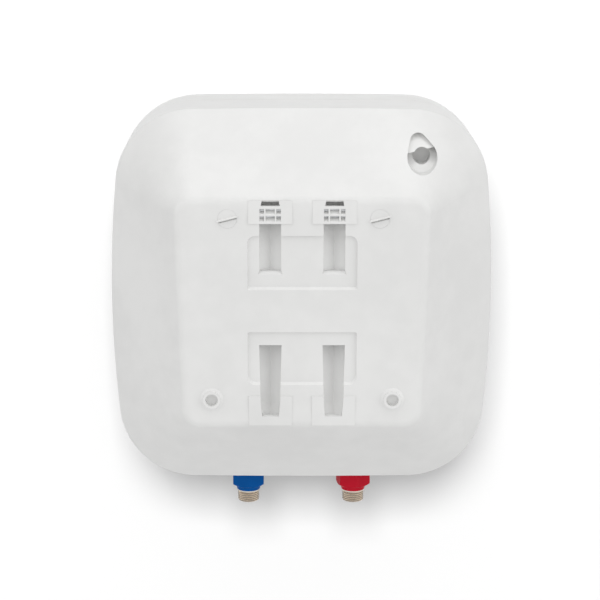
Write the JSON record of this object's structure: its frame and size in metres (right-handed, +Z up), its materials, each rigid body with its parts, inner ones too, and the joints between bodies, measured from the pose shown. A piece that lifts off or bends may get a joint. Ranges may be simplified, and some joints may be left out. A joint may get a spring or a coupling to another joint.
{
  "type": "storage water heater",
  "caption": "Small square wall-hung storage water heater seen from behind, with hook slots, cable entry and two threaded pipe stubs with coloured collars below.",
  "frame": {"origin": "on the wall plane, behind the middle of the casing", "axes": "+Y towards the wall, +Z up, +X to the right for someone who faces the front; the front faces -Y"},
  "size_m": [0.36, 0.3055, 0.3935],
  "materials": {
    "white_shell": "fine satin, white",
    "white_control": "smooth white",
    "blue_plastic": "satin blue",
    "red_plastic": "satin red",
    "plated_steel": "nickel-plated, turned",
    "zinc_steel": "zinc-plated",
    "enamelled_steel": "dark enamel",
    "copper_tube": "copper, dull",
    "magnesium": "dull cast magnesium",
    "foam": "rigid polyurethane foam",
    "black_plastic": "dark phenolic",
    "grey_plastic": "grey plastic",
    "black_rubber": "black rubber",
    "red_button": "red plastic",
    "lamp_lens": "clear orange-red plastic",
    "brass": "turned brass"
  },
  "bodies": {
    "heater": {"rear_shell": "white_shell", "front_shell": "white_shell", "cover_screws": "zinc_steel", "foam_plug_right": "white_shell", "foam_plug_left": "white_shell", "foam_insulation": "foam", "cable_conduit": "grey_plastic", "tank_rear_half": "enamelled_steel", "tank_front_half": "enamelled_steel", "tank_neck": "enamelled_steel", "flange_gasket": "black_rubber", "flange_plate": "zinc_steel", "flange_studs": "zinc_steel", "flange_nuts": "zinc_steel", "heating_element": "copper_tube", "element_terminals": "zinc_steel", "thermostat_sheath": "copper_tube", "magnesium_anode": "magnesium", "anode_nut": "zinc_steel", "cold_inlet_nipple": "plated_steel", "hot_outlet_nipple": "plated_steel", "cold_collar": "blue_plastic", "hot_collar": "red_plastic", "inlet_diffuser": "grey_plastic", "outlet_stand_pipe": "zinc_steel", "upper_hanging_bracket": "zinc_steel", "lower_hanging_bracket": "zinc_steel", "component_bracket": "zinc_steel", "bracket_nuts": "zinc_steel", "thermostat": "black_plastic", "thermostat_capillary": "copper_tube", "pilot_lens": "lamp_lens", "pilot_lamp": "grey_plastic", "thermal_cutout": "black_plastic", "terminal_block": "black_plastic", "terminal_screws": "brass", "cable_clamp": "grey_plastic", "clamp_screws": "zinc_steel", "earth_screw": "brass"},
    "knob": {"temperature_knob": "white_control", "thermostat_spindle": "grey_plastic"},
    "reset": {"reset_button": "red_button"}
  },
  "joints": [
    {"name": "knob_turn", "type": "hinge", "parent": "heater", "child": "knob", "pos_m": [0, -0.27, -0.064], "axis": [0, 1, 0], "range_deg": [0, 270]},
    {"name": "reset_press", "type": "slide", "parent": "heater", "child": "reset", "axis": [0, 1, 0], "range_m": [0, 0.0015], "stiffness_N_per_m": 400}
  ]
}
